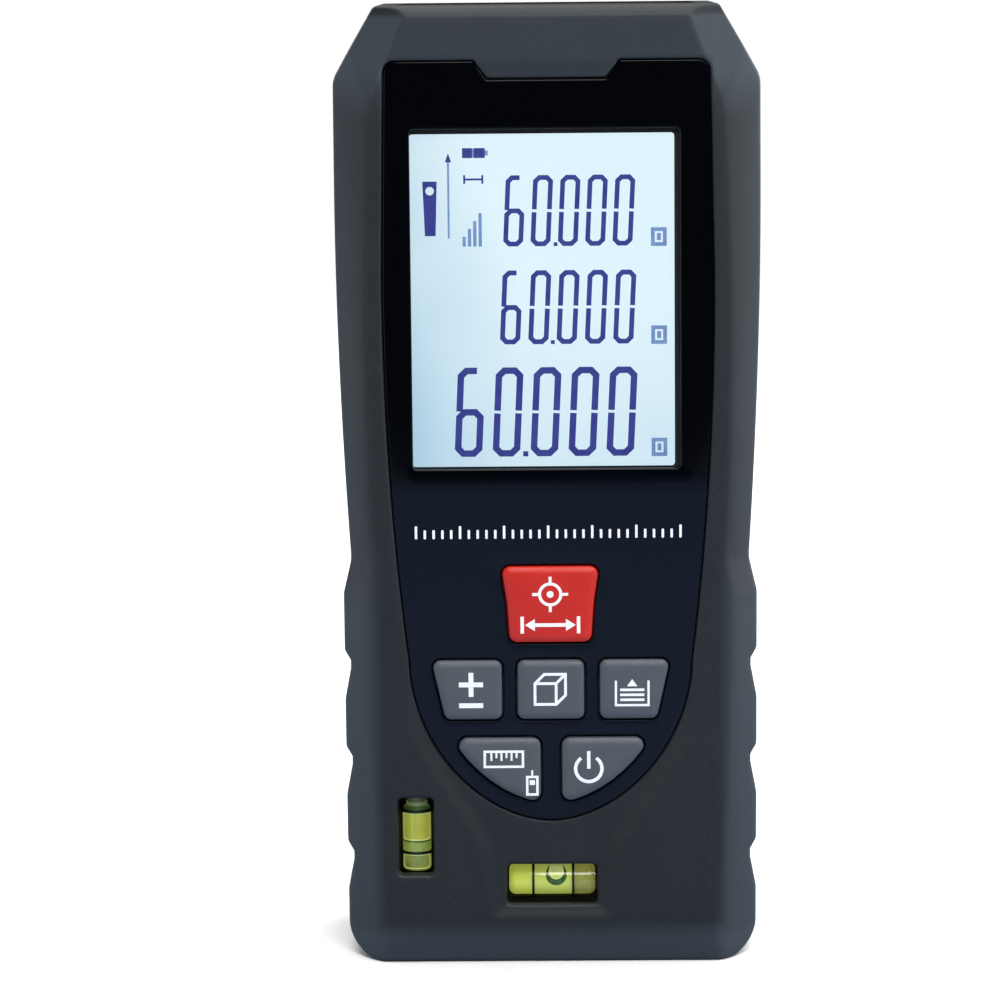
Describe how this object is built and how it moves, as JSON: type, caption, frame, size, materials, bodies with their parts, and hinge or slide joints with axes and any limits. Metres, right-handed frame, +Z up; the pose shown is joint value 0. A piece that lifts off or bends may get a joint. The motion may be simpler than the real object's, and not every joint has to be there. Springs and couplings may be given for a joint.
{
  "type": "laser distance meter",
  "caption": "Hand-held laser distance meter with a dark ribbed housing, display, push keys, two spirit vials, hinged battery door and a tripod bush.",
  "frame": {"origin": "middle of the flat rear end face, the reference that distances are measured from", "axes": "+X to the reader's right, +Y from the display to the back, +Z up along the beam"},
  "size_m": [0.052, 0.0282, 0.118],
  "materials": {
    "housing": "fine moulded texture, satin",
    "gasket": "matt",
    "fascia": "glossy",
    "clear_pane": "polished",
    "lcd": "smooth with dark segments",
    "backlight": "diffusing",
    "white_plastic": "moulded",
    "zebra": "matt",
    "measure_key": "satin",
    "grey_key": "satin",
    "silicone": "matt",
    "spring_steel": "nickel plated",
    "circuit_board": "solder resist",
    "chip": "moulded",
    "screw": "black zinc",
    "chassis": "light-absorbing black",
    "optical_glass": "coated",
    "brass": "machined",
    "sensor_can": "drawn",
    "ribbon": "polyimide film",
    "cell_jacket": "plain printed jacket",
    "foam": "open-cell foam",
    "vial": "clear acrylic",
    "vial_fluid": "tinted liquid",
    "vial_ring": "printed line",
    "vial_holder": "moulded"
  },
  "bodies": {
    "housing": {"front_shell": "housing", "rear_shell": "housing", "seam_gasket": "gasket", "fascia": "fascia", "display_lens": "clear_pane", "lcd_glass": "lcd", "lcd_backlight": "backlight", "lcd_frame": "white_plastic", "zebra_strip": "zebra", "keypad_mat": "silicone", "dome_switches": "spring_steel", "main_board": "circuit_board", "board_chips": "chip", "board_screws": "screw", "buzzer": "chip", "optics_frame": "chassis", "optics_screws": "screw", "receiver_lens": "optical_glass", "lens_ring": "chassis", "laser_barrel": "brass", "collimator_lens": "optical_glass", "laser_diode": "brass", "sensor_board": "circuit_board", "detector": "sensor_can", "sensor_ribbon": "ribbon", "end_plate": "fascia", "laser_window": "clear_pane", "left_battery": "cell_jacket", "right_battery": "cell_jacket", "contact_springs": "spring_steel", "bridge_contact": "spring_steel", "terminal_contacts": "spring_steel", "horizontal_vial": "vial", "horizontal_vial_fluid": "vial_fluid", "horizontal_vial_holder": "vial_holder", "vertical_vial": "vial", "vertical_vial_fluid": "vial_fluid", "vertical_vial_holder": "vial_holder", "vial_rings": "vial_ring", "tripod_bush": "brass", "case_screws": "screw"},
    "measure_key": {"measure_key": "measure_key"},
    "plus_minus_key": {"plus_minus_key": "grey_key"},
    "function_key": {"function_key": "grey_key"},
    "memory_key": {"memory_key": "grey_key"},
    "unit_key": {"unit_key": "grey_key"},
    "clear_key": {"clear_key": "grey_key"},
    "battery_door": {"battery_door": "housing", "door_foam": "foam"}
  },
  "joints": [
    {"name": "measure_key_press", "type": "slide", "parent": "housing", "child": "measure_key", "axis": [0, 1, 0], "range_m": [0, 0.0006], "stiffness_N_per_m": 2500},
    {"name": "plus_minus_key_press", "type": "slide", "parent": "housing", "child": "plus_minus_key", "axis": [0, 1, 0], "range_m": [0, 0.0006], "stiffness_N_per_m": 2000},
    {"name": "function_key_press", "type": "slide", "parent": "housing", "child": "function_key", "axis": [0, 1, 0], "range_m": [0, 0.0006], "stiffness_N_per_m": 2000},
    {"name": "memory_key_press", "type": "slide", "parent": "housing", "child": "memory_key", "axis": [0, 1, 0], "range_m": [0, 0.0006], "stiffness_N_per_m": 2000},
    {"name": "unit_key_press", "type": "slide", "parent": "housing", "child": "unit_key", "axis": [0, 1, 0], "range_m": [0, 0.0006], "stiffness_N_per_m": 2000},
    {"name": "clear_key_press", "type": "slide", "parent": "housing", "child": "clear_key", "axis": [0, 1, 0], "range_m": [0, 0.0006], "stiffness_N_per_m": 2000},
    {"name": "battery_door_swing", "type": "hinge", "parent": "housing", "child": "battery_door", "pos_m": [0, 0.0131, 0.0093], "axis": [-1, 0, 0], "range_deg": [0, 85]}
  ]
}
